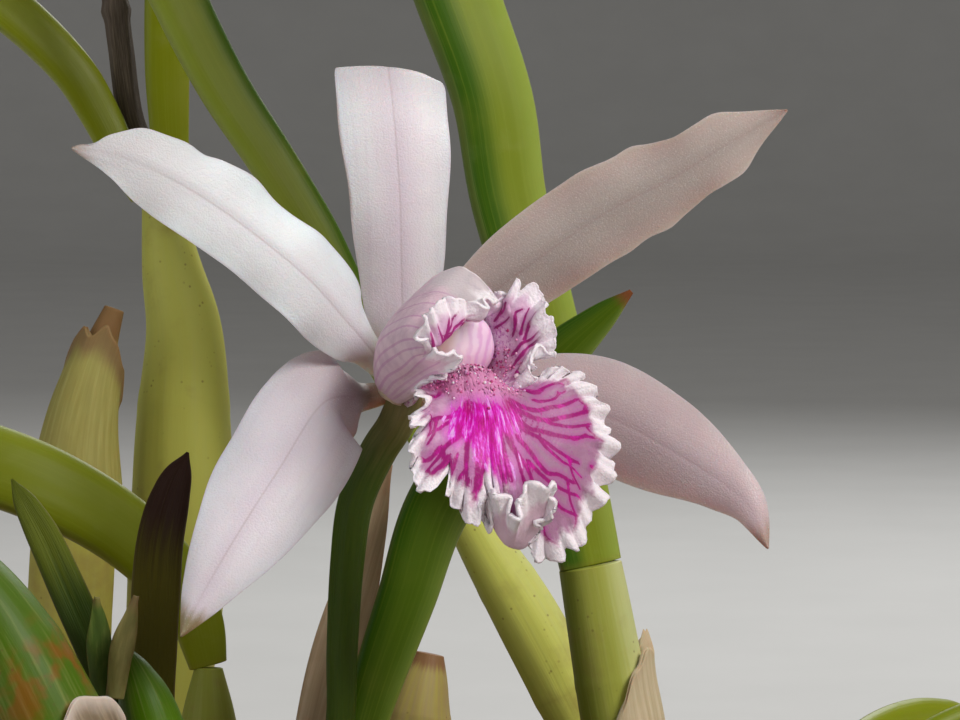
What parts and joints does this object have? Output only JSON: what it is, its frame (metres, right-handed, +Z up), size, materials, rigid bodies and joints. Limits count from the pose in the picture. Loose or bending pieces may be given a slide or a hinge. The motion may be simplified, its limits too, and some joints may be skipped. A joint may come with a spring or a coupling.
{
  "type": "potted microlaelia lundii",
  "caption": "Small orchid in flower in a plain terracotta pot of bark: white petals, a frilled lip with magenta veins, thick narrow leaves on green pseudobulbs.",
  "frame": {"origin": "middle of the pot's flat base, on the surface that the pot stands on", "axes": "+Z up, the flower faces -Y with its lip turned toward +X"},
  "size_m": [0.1232, 0.107, 0.1651],
  "materials": {
    "terracotta": "matt, slightly dusty",
    "bark": "rough, dry",
    "old_stem": "dull, ringed",
    "bulb_green": "smooth, slightly waxy",
    "leaf_green": "smooth, waxy",
    "young_green": "smooth, fresh",
    "dark_shoot": "smooth, dark red-brown",
    "dry_paper": "papery, streaked",
    "velamen": "matt, spongy",
    "tepal_white": "soft, crystalline sparkle",
    "lip_pink": "soft, veined",
    "column_pink": "waxy",
    "anther_cream": "waxy"
  },
  "bodies": {
    "root": {"pot": "terracotta", "bark_bed": "bark", "rhizome_main": "old_stem", "rhizome_left": "old_stem", "rhizome_right": "old_stem", "bulb_old_back": "old_stem", "bulb_oldest": "old_stem", "bulb_back": "bulb_green", "bulb_left": "bulb_green", "bulb_middle": "bulb_green", "bulb_far_left": "bulb_green", "bulb_front": "bulb_green", "bulb_low_left": "bulb_green", "bulb_right": "bulb_green", "bulb_right_front": "bulb_green", "bulb_right_middle": "bulb_green", "bulb_young": "young_green", "leaf_young": "young_green", "bulb_new_shoot": "young_green", "pedicel": "young_green", "leaf_back": "leaf_green", "leaf_left_low": "leaf_green", "leaf_left_high": "leaf_green", "leaf_middle": "leaf_green", "leaf_front": "leaf_green", "leaf_low_left_upper": "leaf_green", "leaf_low_left_lower": "leaf_green", "leaf_right_upper": "leaf_green", "leaf_right_back": "leaf_green", "leaf_right_front_outer": "leaf_green", "leaf_right_front_inner": "leaf_green", "leaf_right_middle": "leaf_green", "shoot_dark_green": "leaf_green", "shoot_red": "dark_shoot", "dry_stalk": "dry_paper", "sheath_back": "dry_paper", "sheath_far_left": "dry_paper", "sheath_low_left": "dry_paper", "bract_tan": "dry_paper", "bract_new_left": "dry_paper", "bract_new_right": "dry_paper", "root_front": "velamen", "root_left": "velamen", "root_right": "velamen", "root_back": "velamen", "root_middle": "velamen", "petal_left": "tepal_white", "petal_right": "tepal_white", "sepal_dorsal": "tepal_white", "sepal_left": "tepal_white", "sepal_right": "tepal_white", "lip": "lip_pink", "column": "column_pink", "anther_cap": "anther_cream"}
  },
  "joints": []
}
